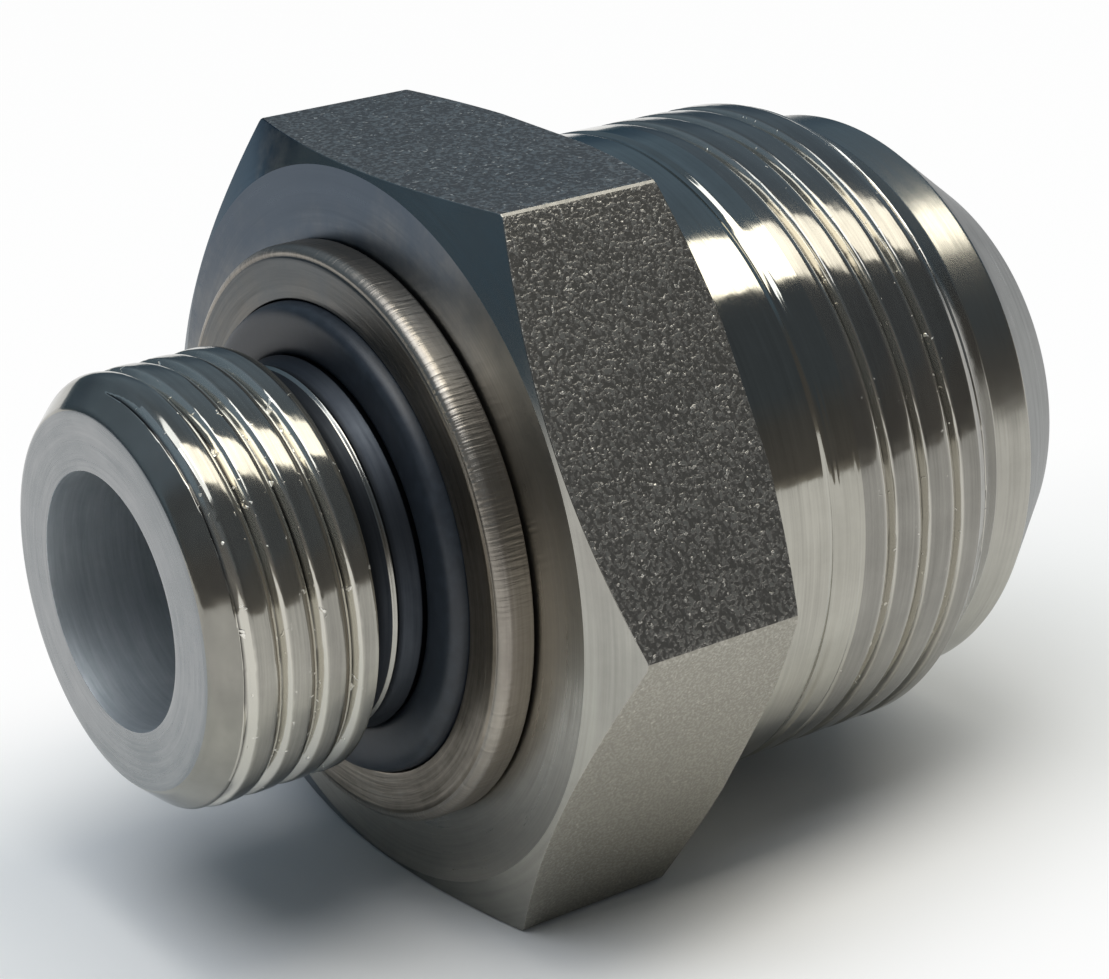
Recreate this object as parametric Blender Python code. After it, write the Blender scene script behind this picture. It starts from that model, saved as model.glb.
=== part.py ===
"""Straight male adapter fitting: a turned steel body with a hexagon, a rubber ring and a retaining ring.

The fitting lies on one flat of its hexagon. Its axis runs along X: the short stud points to -X, and the
larger end with the cone points to +X. Z is up. The origin is on the surface that the fitting lies on, under
the middle of its length. Inside the functions, places along the axis are measured from the hexagon's stud
side face, and the objects are moved to their place at the end.
"""

import math

import bmesh
import bpy
from mathutils import Vector

# Sizes in metres.

# Stud: the short end with the fine straight thread.
STUD_LENGTH = 0.0140
STUD_RADIUS = 0.0104
STUD_PITCH = 0.001814
STUD_CHAMFER_DEPTH = 0.00138
STUD_CHAMFER_LENGTH = 0.0015
NECK_LENGTH = 0.00597
NECK_DEPTH = 0.00155
BORE_RADIUS = 0.0060
BORE_EDGE = 0.0002

# Cone end: the larger end with the coarse thread and the cone.
CONE_END_THREAD_RADIUS = 0.01655
CONE_END_PITCH = 0.002117
SHANK_LENGTH = 0.00427
GROOVE_WIDTH = 0.00085
GROOVE_DEPTH = 0.00033
THREAD_LENGTH = 0.0087
TAPER_LENGTH = 0.00246
NOSE_STEP = 0.0015
NOSE_LENGTH = 0.0023
CONE_LENGTH = 0.00482
CONE_ANGLE = math.radians(37.0)
LIP_WIDTH = 0.0007
WIDE_BORE_DEPTH = 0.0222
DRILL_ANGLE = math.radians(59.0)

# Hexagon.
HEX_STEP = 0.00145
HEX_WIDTH = 0.0108
HEX_CHAMFER_ANGLE = math.radians(24.0)
HEX_FRONT_CHAMFER = 0.00024
HEX_BACK_CHAMFER = -0.00028

# Thread grooves, as parts of the pitch.
STUD_GROOVE_SHARE = 0.40
CONE_END_GROOVE_SHARE = 0.32
GROOVE_FLOOR_SHARE = 0.10
GROOVE_DEPTH_SHARE = 0.42

# The two loose rings.
GAP = 0.00029
SEAL_SPACE = 0.00282
SEAL_PLACE = 0.0021
RING_WALL = 0.00257
RING_FACE = 0.00196
RING_REAR = 0.0003
RING_FRONT_EDGE = 0.00035
RING_REAR_EDGE = 0.00015

# Number of straight sides around the turned pieces.
SIDES = 72
SEAL_SIDES = 60
SEAL_SECTION_SIDES = 12

# Points closer than this are made one after the threads are cut.
MERGE_DISTANCE = 0.000001

# Sizes that follow from the ones above.
NECK_RADIUS = STUD_RADIUS - NECK_DEPTH
HEX_INNER_RADIUS = CONE_END_THREAD_RADIUS + HEX_STEP
HEX_CORNER_RADIUS = HEX_INNER_RADIUS / math.cos(math.radians(30.0))
NOSE_RADIUS = CONE_END_THREAD_RADIUS - NOSE_STEP
CONE_TIP_RADIUS = NOSE_RADIUS - CONE_LENGTH * math.tan(CONE_ANGLE)
WIDE_BORE_RADIUS = CONE_TIP_RADIUS - LIP_WIDTH
SHANK_END = HEX_WIDTH + SHANK_LENGTH
THREAD_START = SHANK_END + GROOVE_WIDTH
THREAD_END = THREAD_START + THREAD_LENGTH
NOSE_START = THREAD_END + TAPER_LENGTH
NOSE_END = NOSE_START + NOSE_LENGTH
TIP = NOSE_END + CONE_LENGTH
RING_HOLE_RADIUS = NECK_RADIUS + SEAL_SPACE
RING_RADIUS = RING_HOLE_RADIUS + RING_WALL
SEAL_SECTION_RADIUS = SEAL_SPACE / 2 - GAP
SEAL_RADIUS = NECK_RADIUS + SEAL_SPACE / 2
MIDDLE = (TIP - STUD_LENGTH) / 2


def clear_scene():
    """Remove every object that is in the scene."""
    for thing in list(bpy.data.objects):
        bpy.data.objects.remove(thing, do_unlink=True)


def make_material(name, colour, roughness, metallic):
    """Return a plain Principled material."""
    material = bpy.data.materials.new(name)
    material.use_nodes = True
    shader = material.node_tree.nodes["Principled BSDF"]
    shader.inputs["Base Color"].default_value = (*colour, 1.0)
    shader.inputs["Roughness"].default_value = roughness
    shader.inputs["Metallic"].default_value = metallic
    return material


def turned_mesh(name, profile, sides):
    """Turn a closed profile of (place along the axis, radius) points around X.

    The profile runs up the outside from the -X end to the +X end and back through the hole. The first side
    is half a step round, so that no edge of the turned shape falls on a corner of the hexagon.
    """
    shape = bmesh.new()
    rows = []
    for side in range(sides):
        angle = 2 * math.pi * (side + 0.5) / sides
        row = [shape.verts.new((place, radius * math.cos(angle), radius * math.sin(angle)))
               for place, radius in profile]
        rows.append(row)
    count = len(profile)
    for side in range(sides):
        this_row = rows[side]
        next_row = rows[(side + 1) % sides]
        for point in range(count):
            after = (point + 1) % count
            shape.faces.new((this_row[point], next_row[point], next_row[after], this_row[after]))
    bmesh.ops.recalc_face_normals(shape, faces=shape.faces)
    return finish_mesh(shape, name)


def finish_mesh(shape, name):
    """Turn a bmesh into a mesh that is smooth but for its real edges."""
    mesh = bpy.data.meshes.new(name)
    shape.to_mesh(mesh)
    shape.free()
    mesh.shade_smooth()
    mesh.set_sharp_from_angle(angle=math.radians(25.0))
    return mesh


def hexagon_mesh(name, start, end, inner_radius):
    """Return a six sided bar along X with a flat on top and a flat below."""
    corner = inner_radius / math.cos(math.radians(30.0))
    shape = bmesh.new()
    ends = []
    for place in (start, end):
        ring = [shape.verts.new((place, corner * math.cos(math.radians(60.0 * side)),
                                 corner * math.sin(math.radians(60.0 * side)))) for side in range(6)]
        ends.append(ring)
    shape.faces.new(ends[0])
    shape.faces.new(ends[1])
    for side in range(6):
        after = (side + 1) % 6
        shape.faces.new((ends[0][side], ends[1][side], ends[1][after], ends[0][after]))
    bmesh.ops.recalc_face_normals(shape, faces=shape.faces)
    return finish_mesh(shape, name)


def groove_mesh(name, start, end, pitch, radius, top_width, phase, fade_turns):
    """Return the tool shape that cuts a right hand thread groove between two places.

    The tool's middle is at phase + pitch per turn. Over the first fade_turns it sinks in from
    outside the metal to its full depth.
    """
    depth = GROOVE_DEPTH_SHARE * pitch
    floor_width = GROOVE_FLOOR_SHARE * pitch
    outside = 0.25 * pitch
    slope = (top_width - floor_width) / (2 * depth)
    outer_half = top_width / 2 + slope * outside
    step = 2 * math.pi / SIDES
    first = math.ceil((start - phase) / pitch * SIDES)
    last = math.floor((end - phase) / pitch * SIDES)
    shape = bmesh.new()
    sections = []
    for number in range(first, last + 1):
        angle = (number + 0.5) * step
        place = phase + pitch * (number + 0.5) / SIDES
        sink = 1.0
        if fade_turns > 0:
            sink = min(1.0, (number - first) / (fade_turns * SIDES))
        lift = (1.0 - sink) * (depth + 0.1 * pitch)
        corners = (
            (place - outer_half, radius + outside + lift),
            (place + outer_half, radius + outside + lift),
            (place + floor_width / 2, radius - depth + lift),
            (place - floor_width / 2, radius - depth + lift),
        )
        section = [shape.verts.new((along, out * math.cos(angle), out * math.sin(angle)))
                   for along, out in corners]
        sections.append(section)
    for here, there in zip(sections[:-1], sections[1:]):
        for corner in range(4):
            after = (corner + 1) % 4
            shape.faces.new((here[corner], there[corner], there[after], here[after]))
    shape.faces.new(sections[0])
    shape.faces.new(sections[-1])
    bmesh.ops.recalc_face_normals(shape, faces=shape.faces)
    return finish_mesh(shape, name)


def place_object(name, mesh, material):
    """Add a mesh to the scene, with the fitting lying on its hexagon's lower flat."""
    thing = bpy.data.objects.new(name, mesh)
    thing.location = Vector((-MIDDLE, 0.0, HEX_INNER_RADIUS))
    bpy.context.scene.collection.objects.link(thing)
    if material is None:
        thing.hide_render = True
        thing.display_type = "WIRE"
    else:
        mesh.materials.append(material)
    return thing


def cut(thing, tool, operation):
    """Add an exact Boolean to an object."""
    step = thing.modifiers.new(tool.name, "BOOLEAN")
    step.operation = operation
    step.solver = "EXACT"
    step.object = tool


def body_profile():
    """Outline of the turned body, hexagon blank included, from the stud's face round to its bore."""
    blank = HEX_CORNER_RADIUS * 1.03
    lean = math.tan(HEX_CHAMFER_ANGLE)
    front_face = HEX_INNER_RADIUS - HEX_FRONT_CHAMFER
    back_face = HEX_INNER_RADIUS - HEX_BACK_CHAMFER
    stud_face = STUD_RADIUS - STUD_CHAMFER_DEPTH
    bore_end = TIP - WIDE_BORE_DEPTH
    drill_end = bore_end - (WIDE_BORE_RADIUS - BORE_RADIUS) / math.tan(DRILL_ANGLE)
    return [
        (-STUD_LENGTH, BORE_RADIUS + BORE_EDGE),
        (-STUD_LENGTH, stud_face),
        (-STUD_LENGTH + STUD_CHAMFER_LENGTH, STUD_RADIUS),
        (-NECK_LENGTH, STUD_RADIUS),
        (-NECK_LENGTH + 0.15 * NECK_DEPTH, NECK_RADIUS + 0.35 * NECK_DEPTH),
        (-NECK_LENGTH + 0.35 * NECK_DEPTH, NECK_RADIUS + 0.08 * NECK_DEPTH),
        (-NECK_LENGTH + 0.65 * NECK_DEPTH, NECK_RADIUS),
        (0.0, NECK_RADIUS),
        (0.0, front_face),
        ((blank - front_face) * lean, blank),
        (HEX_WIDTH - (blank - back_face) * lean, blank),
        (HEX_WIDTH, back_face),
        (HEX_WIDTH, CONE_END_THREAD_RADIUS),
        (SHANK_END, CONE_END_THREAD_RADIUS),
        (SHANK_END + 0.2 * GROOVE_WIDTH, CONE_END_THREAD_RADIUS - GROOVE_DEPTH),
        (SHANK_END + 0.8 * GROOVE_WIDTH, CONE_END_THREAD_RADIUS - GROOVE_DEPTH),
        (THREAD_START, CONE_END_THREAD_RADIUS),
        (THREAD_END, CONE_END_THREAD_RADIUS),
        (NOSE_START, NOSE_RADIUS),
        (NOSE_END, NOSE_RADIUS),
        (TIP, CONE_TIP_RADIUS),
        (TIP, WIDE_BORE_RADIUS),
        (bore_end, WIDE_BORE_RADIUS),
        (drill_end, BORE_RADIUS),
        (-STUD_LENGTH + BORE_EDGE, BORE_RADIUS),
    ]


def make_body(steel):
    """Model the one turned piece: stud, hexagon and cone end, with both threads cut."""
    body = place_object("adapter_body", turned_mesh("adapter_body", body_profile(), SIDES), steel)
    bar_mesh = hexagon_mesh("hexagon_bar", -2 * STUD_LENGTH, 2 * TIP, HEX_INNER_RADIUS)
    bar = place_object("hexagon_bar", bar_mesh, None)
    stud_phase = -NECK_LENGTH - 2.16 * STUD_PITCH
    stud_tool = groove_mesh("stud_groove", -STUD_LENGTH - STUD_PITCH, -NECK_LENGTH + 0.7 * STUD_PITCH, STUD_PITCH,
                            STUD_RADIUS, STUD_GROOVE_SHARE * STUD_PITCH, stud_phase, 0.0)
    cone_phase = THREAD_START + 0.985 * CONE_END_PITCH
    cone_tool = groove_mesh("cone_end_groove", THREAD_START + 0.5 * CONE_END_PITCH, NOSE_START + 0.4 * CONE_END_PITCH,
                            CONE_END_PITCH, CONE_END_THREAD_RADIUS, CONE_END_GROOVE_SHARE * CONE_END_PITCH,
                            cone_phase, 0.35)
    cut(body, bar, "INTERSECT")
    cut(body, place_object("stud_groove", stud_tool, None), "DIFFERENCE")
    cut(body, place_object("cone_end_groove", cone_tool, None), "DIFFERENCE")
    merge = body.modifiers.new("merge_doubles", "WELD")
    merge.merge_threshold = MERGE_DISTANCE
    return body


def make_retaining_ring(steel):
    """Model the flat metal ring that lies against the hexagon and holds the rubber ring."""
    profile = [
        (-RING_FACE, RING_HOLE_RADIUS),
        (-RING_FACE, RING_RADIUS - RING_FRONT_EDGE),
        (-RING_FACE + 0.75 * RING_FRONT_EDGE, RING_RADIUS),
        (-RING_REAR - RING_REAR_EDGE, RING_RADIUS),
        (-RING_REAR, RING_RADIUS - RING_REAR_EDGE),
        (-RING_REAR, RING_HOLE_RADIUS),
    ]
    return place_object("retaining_ring", turned_mesh("retaining_ring", profile, SIDES), steel)


def make_seal(rubber):
    """Model the round rubber ring that sits on the neck inside the retaining ring."""
    profile = []
    for number in range(SEAL_SECTION_SIDES):
        angle = 2 * math.pi * number / SEAL_SECTION_SIDES
        along = -SEAL_PLACE - SEAL_SECTION_RADIUS * math.cos(angle)
        out = SEAL_RADIUS + SEAL_SECTION_RADIUS * math.sin(angle)
        profile.append((along, out))
    return place_object("o_ring", turned_mesh("o_ring", profile, SEAL_SIDES), rubber)


def main():
    """Build the whole fitting."""
    clear_scene()
    steel = make_material("turned_steel", (0.52, 0.53, 0.54), 0.22, 1.0)
    ring_steel = make_material("ring_steel", (0.50, 0.50, 0.49), 0.30, 1.0)
    rubber = make_material("black_rubber", (0.02, 0.02, 0.022), 0.35, 0.0)
    make_body(steel)
    make_retaining_ring(ring_steel)
    make_seal(rubber)


main()
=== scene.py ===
"""Looks of the straight male adapter fitting: turned steel body, rubber ring and retaining ring.

Every piece is turned in place round the fitting's axis. Lengths are in millimetres, and places along the axis are
measured from the hexagon's stud side face. The blanks are made in metres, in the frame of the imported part.
"""

import logging
import math
from dataclasses import dataclass
from enum import Enum

import bpy
import numpy as np
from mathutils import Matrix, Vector


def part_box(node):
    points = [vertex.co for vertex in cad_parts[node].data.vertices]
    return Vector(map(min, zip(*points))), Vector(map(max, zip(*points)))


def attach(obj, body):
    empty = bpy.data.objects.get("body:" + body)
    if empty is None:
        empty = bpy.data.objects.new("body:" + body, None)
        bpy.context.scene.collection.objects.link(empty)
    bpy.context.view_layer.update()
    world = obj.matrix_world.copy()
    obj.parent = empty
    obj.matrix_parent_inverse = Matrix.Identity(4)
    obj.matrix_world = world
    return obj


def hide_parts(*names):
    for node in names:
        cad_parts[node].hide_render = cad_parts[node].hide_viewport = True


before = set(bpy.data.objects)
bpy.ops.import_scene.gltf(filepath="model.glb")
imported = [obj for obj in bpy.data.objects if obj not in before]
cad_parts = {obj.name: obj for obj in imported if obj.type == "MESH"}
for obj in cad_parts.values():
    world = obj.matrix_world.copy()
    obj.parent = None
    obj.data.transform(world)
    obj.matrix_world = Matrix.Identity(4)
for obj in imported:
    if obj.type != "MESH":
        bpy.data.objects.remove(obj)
log = logging.getLogger("adapter")

MM = 0.001
STUD_LENGTH = 14.0
HEXAGON_WIDTH = 10.8
BORE_RADIUS = 6.0
# Where the stud's tube and the cone end's body meet inside the hexagon.
MEETING = 6.0
# Attribute that keeps how deep a point lies in the thread, from 0 on the land to 1 at the root.
CUT_DEPTH = "cut_depth"
# An arc takes no more than this part of the run on either side of its corner.
ARC_SHARE = 0.45
ARC_POINTS = (0.0, 0.25, 0.5, 0.75, 1.0)
MERGE_DISTANCE = 0.000001
# A thread strays from its profile: its wall wanders by a part of the pitch, its depth changes by a part of itself,
# and a burr stands no higher over the land than a part of the pitch.
WALL_WANDER = 0.012
DEPTH_CHANGE = 0.10
BURR_HEIGHT = 0.002
WAVE_COUNT = 9
WAVE_SPAN = 1.6
# How much the fine marks, the broad marks and the cloudy tone each add to the tone of turned steel.
FINE_SHARE, BROAD_SHARE, CLOUD_SHARE = 0.35, 0.35, 0.30
# The cloudy tone moves the edge of the painted shade by up to this many millimetres.
STAIN_WANDER = 12.0
# Near white painted on the thread's nicks: real nicks, shown by painted glints.
NICK_COLOUR = "#fbf8ee"


def srgb(colour: str) -> tuple[float, float, float, float]:
    """Turn an sRGB hex colour into linear values.

    Args:
        colour: the colour as #rrggbb.

    Returns:
        Linear red, green, blue and an alpha of 1.
    """
    parts = [int(colour[at:at + 2], 16) / 255.0 for at in (1, 3, 5)]
    linear = [part / 12.92 if part <= 0.04045 else ((part + 0.055) / 1.055) ** 2.4 for part in parts]
    return (*linear, 1.0)


def add_node(tree: bpy.types.NodeTree, kind: str, inputs: dict | None = None,
             stops: list[tuple[float, str]] | None = None, **settings) -> bpy.types.Node:
    """Add one shader node with its settings and links.

    Args:
        tree: the node tree.
        kind: the node's type without its ShaderNode prefix.
        inputs: plain values, or sockets to link, by the input's name or number.
        stops: places from 0 to 1, each with an sRGB hex colour, for a node that has a colour band.
        settings: the node's own settings.

    Returns:
        The new node.
    """
    node = tree.nodes.new("ShaderNode" + kind)
    for name, value in settings.items():
        setattr(node, name, value)
    for number, (place, colour) in enumerate(stops or []):
        band = node.color_ramp
        element = band.elements[number] if number < 2 else band.elements.new(place)
        element.position = place
        element.color = srgb(colour)
    for name, value in (inputs or {}).items():
        if isinstance(value, bpy.types.NodeSocket):
            tree.links.new(value, node.inputs[name])
        else:
            node.inputs[name].default_value = value
    return node


@dataclass(frozen=True)
class Axis:
    """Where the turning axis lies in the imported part."""

    face: float
    height: float

    @classmethod
    def of_frame(cls) -> "Axis":
        """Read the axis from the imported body's box.

        Returns:
            The axis, with the place of the hexagon's stud side face.
        """
        low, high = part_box("adapter_body")
        return cls(face=low[0] / MM + STUD_LENGTH, height=(low[2] + high[2]) / 2 / MM)

    def point(self, place: float, out: float, angle: float = 0.0) -> Vector:
        """Give a point in metres.

        Args:
            place: millimetres along the axis from the hexagon's stud side face.
            out: millimetres from the axis.
            angle: radians round the axis, from +Y towards +Z.

        Returns:
            The point in the part's frame.
        """
        return Vector(((self.face + place) * MM, out * math.cos(angle) * MM,
                       (self.height + out * math.sin(angle)) * MM))


@dataclass(frozen=True)
class Corner:
    """One corner of a turned outline.

    The rounding is the size of the small arc that breaks the corner, and step is the spacing of the rows
    between this corner and the next one, or 0 for no rows between.
    """

    place: float
    out: float
    rounding: float = 0.0
    step: float = 0.0


def outline_points(corners: list[Corner]) -> list[tuple[float, float]]:
    """Turn corners into the points of a closed outline.

    Args:
        corners: the corners in order.

    Returns:
        Points of (place, out), with broken corners and with rows along the long runs.
    """
    points = []
    count = len(corners)
    for number, corner in enumerate(corners):
        before = corners[number - 1]
        after = corners[(number + 1) % count]
        here = np.array((corner.place, corner.out))
        back = np.array((before.place, before.out)) - here
        ahead = np.array((after.place, after.out)) - here
        back_length = np.linalg.norm(back)
        ahead_length = np.linalg.norm(ahead)
        arc = [here]
        if corner.rounding > 0:
            cut = min(corner.rounding, ARC_SHARE * back_length, ARC_SHARE * ahead_length)
            first = here + back / back_length * cut
            last = here + ahead / ahead_length * cut
            arc = [(1 - t) ** 2 * first + 2 * t * (1 - t) * here + t ** 2 * last for t in ARC_POINTS]
        points.extend(tuple(point) for point in arc)
        if corner.step > 0:
            start = arc[-1]
            end = np.array((after.place, after.out))
            if after.rounding > 0:
                end = end - ahead / ahead_length * min(after.rounding, ARC_SHARE * ahead_length)
            rows = max(1, round(float(np.linalg.norm(end - start)) / corner.step))
            points.extend(tuple(start + (end - start) * row / rows) for row in range(1, rows))
    return points


def deselect() -> None:
    """Deselect every object and leave edit mode."""
    if bpy.context.object is not None and bpy.context.object.mode != "OBJECT":
        bpy.ops.object.mode_set(mode="OBJECT")
    bpy.ops.object.select_all(action="DESELECT")


def turn(name: str, corners: list[Corner], steps: int, axis: Axis) -> bpy.types.Object:
    """Turn a closed outline round the fitting's axis, as on a lathe.

    Args:
        name: the piece's name.
        corners: the outline's corners.
        steps: the number of steps round the axis.
        axis: the turning axis.

    Returns:
        The closed turned piece, smooth all over.
    """
    outline = outline_points(corners)
    deselect()
    bpy.ops.mesh.primitive_circle_add(vertices=len(outline), radius=MM, location=axis.point(0, 0))
    piece = bpy.context.object
    piece.name = name
    piece.data.name = name
    for vertex, (place, out) in zip(piece.data.vertices, outline):
        vertex.co = (place * MM, out * MM, 0.0)
    lathe = piece.modifiers.new("lathe", "SCREW")
    lathe.axis = "X"
    lathe.angle = 2 * math.pi
    lathe.screw_offset = 0.0
    lathe.steps = steps
    lathe.render_steps = steps
    lathe.use_merge_vertices = True
    lathe.merge_threshold = MERGE_DISTANCE
    bpy.ops.object.modifier_apply(modifier=lathe.name)
    bpy.ops.object.transform_apply(location=True, rotation=True, scale=True)
    bpy.ops.object.mode_set(mode="EDIT")
    bpy.ops.mesh.select_all(action="SELECT")
    bpy.ops.mesh.normals_make_consistent(inside=False)
    bpy.ops.object.mode_set(mode="OBJECT")
    bpy.ops.object.shade_smooth()
    return piece


def waves(angle: np.ndarray, seed: int, low: int, high: int) -> np.ndarray:
    """Make a smooth irregular value from about -1 to 1 that closes after one turn.

    Args:
        angle: radians round the axis.
        seed: picks the pattern.
        low: the fewest waves per turn.
        high: the most waves per turn.

    Returns:
        The value for each angle.
    """
    rng = np.random.default_rng(seed)
    total = np.zeros_like(angle)
    for _ in range(WAVE_COUNT):
        total += np.sin(rng.integers(low, high) * angle + rng.uniform(0, 2 * math.pi))
    return total / math.sqrt(WAVE_COUNT) / WAVE_SPAN


@dataclass(frozen=True)
class Thread:
    """A right hand thread groove.

    The profile holds points of (part of the pitch, depth as a part of the pitch). It starts on the land, goes over
    the rolled edge and down the wall that faces away from the stud end, and comes up the far wall. The burr is how
    ragged the edges are, and fade_in how many pitches the groove takes to reach its depth. Points that lie further
    under the land than the reach, such as a bore's, stay where they are.
    """

    radius: float
    pitch: float
    phase: float
    start: float
    end: float
    fade_in: float
    profile: tuple[tuple[float, float], ...]
    burr: float
    seed: int
    reach: float = 1.3

    def groove(self, place: np.ndarray, angle: np.ndarray) -> np.ndarray:
        """Work out how deep the groove is, with its wandering walls and ragged edges.

        Args:
            place: millimetres along the axis.
            angle: radians round the axis.

        Returns:
            The depth as a part of the pitch.
        """
        along_points = [point[0] for point in self.profile]
        depth_points = [point[1] for point in self.profile]
        root = along_points[int(np.argmax(depth_points))]
        middle = self.phase + self.pitch * angle / (2 * math.pi)
        turns = (place - middle) / self.pitch + root
        number = np.floor(turns)
        along = turns - number
        # Every turn takes its own stretch of each wave pattern, so no two turns look alike.
        wander = WALL_WANDER * waves(angle + 1.3 * number, self.seed + 7, 2, 11)
        depth = np.interp(np.clip(along + wander * (along > 0.3), 0.0, 1.0), along_points, depth_points)
        depth = depth * (1.0 + DEPTH_CHANGE * waves(angle + 2.1 * number, self.seed + 3, 2, 9))
        ragged = waves(angle + 0.9 * number, self.seed, 30, 110)
        patches = np.clip(waves(angle + 0.4 * number, self.seed + 1, 3, 14), 0.0, 1.0)
        # Burrs stand on both edges of the land and high on the steep wall.
        edge = np.exp(-((along - 0.02) / 0.05) ** 2) + np.exp(-((along - 0.99) / 0.03) ** 2)
        edge = edge + 0.8 * np.exp(-((along - root + 0.07) / 0.035) ** 2)
        return depth + self.burr * edge * ragged * patches

    def cut(self, piece: bpy.types.Object, axis: Axis) -> None:
        """Sink the piece's outer surface to the thread.

        A helix can't be made by a tool that follows rings of a turned blank, so the rows of the blank are close
        together and each of their points goes to the depth of the thread at its place. How deep each point lies
        is kept in an attribute for the finish.

        Args:
            piece: the turned blank.
            axis: the turning axis.
        """
        mesh = piece.data
        points = np.empty(len(mesh.vertices) * 3)
        mesh.vertices.foreach_get("co", points)
        points = points.reshape(-1, 3)
        place = points[:, 0] / MM - axis.face
        side = points[:, 1] / MM
        rise = points[:, 2] / MM - axis.height
        out = np.hypot(side, rise)
        depth = self.groove(place, np.arctan2(rise, side))
        first = (place - self.start) / (self.fade_in * self.pitch)
        fade = np.clip(first, 0.0, 1.0)
        wanted = self.radius - np.maximum(depth, -BURR_HEIGHT) * self.pitch * fade
        inside = (place > self.start) & (place < self.end) & (out > self.radius - self.reach)
        out_new = np.where(inside, np.minimum(out, wanted), out)
        scale = out_new / np.maximum(out, 1e-9)
        points[:, 1] = side * scale * MM
        points[:, 2] = (rise * scale + axis.height) * MM
        mesh.vertices.foreach_set("co", points.ravel())
        deepest = max(point[1] for point in self.profile)
        deep = np.where(inside & (out_new < out), depth / deepest * fade, 0.0)
        attribute = mesh.attributes.new(CUT_DEPTH, "FLOAT", "POINT")
        attribute.data.foreach_set("value", np.clip(deep, 0.0, 1.0).astype(np.float32))
        mesh.update()


class Marks(Enum):
    """Directions of the fine marks that a tool leaves."""

    ROUND = "round the axis"
    ALONG = "along the axis"


@dataclass(frozen=True)
class Finish:
    """What all finishes share: a name, two colours, a roughness, and coordinates round the turning axis."""

    name: str
    colour: str
    second_colour: str
    roughness: float
    roughness_spread: float

    def start(self) -> tuple[bpy.types.Material, bpy.types.NodeTree, bpy.types.Node]:
        """Make an empty material.

        Returns:
            The material, its node tree and its shader.
        """
        material = bpy.data.materials.new(self.name)
        material.use_nodes = True
        return material, material.node_tree, material.node_tree.nodes["Principled BSDF"]

    def solid_place(self, tree: bpy.types.NodeTree, axis: Axis) -> bpy.types.NodeSocket:
        """Add the place on the part in millimetres, with the turning axis at Y and Z of 0.

        Args:
            tree: the node tree.
            axis: the turning axis.

        Returns:
            The place as a vector.
        """
        place = add_node(tree, "TexCoord").outputs["Object"]
        return add_node(tree, "Mapping", {"Vector": place, "Location": (0.0, 0.0, -axis.height),
                                          "Scale": (1 / MM,) * 3}).outputs["Vector"]

    def lathe_place(self, tree: bpy.types.NodeTree, solid: bpy.types.NodeSocket, tight: float,
                    loose: float) -> bpy.types.NodeSocket:
        """Add a place that runs fast across the tool marks and slowly along them, with no seam round the axis.

        Args:
            tree: the node tree.
            solid: the place in millimetres.
            tight: patterns per millimetre across the marks.
            loose: patterns over the radius in the direction round the axis.

        Returns:
            The place as a vector.
        """
        split = add_node(tree, "SeparateXYZ", {"Vector": solid})
        flat = add_node(tree, "CombineXYZ", {"Y": split.outputs["Y"], "Z": split.outputs["Z"]}).outputs[0]
        out = add_node(tree, "VectorMath", {0: flat}, operation="LENGTH").outputs["Value"]
        across = add_node(tree, "Math", {0: split.outputs["X"], 1: out}, operation="SUBTRACT").outputs[0]
        across = add_node(tree, "Math", {0: across, 1: tight}, operation="MULTIPLY").outputs[0]
        around = add_node(tree, "VectorMath", {0: flat}, operation="NORMALIZE").outputs["Vector"]
        around = add_node(tree, "VectorMath", {0: around, "Scale": loose}, operation="SCALE").outputs["Vector"]
        first = add_node(tree, "CombineXYZ", {"X": across}).outputs[0]
        return add_node(tree, "VectorMath", {0: around, 1: first}, operation="ADD").outputs["Vector"]


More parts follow.
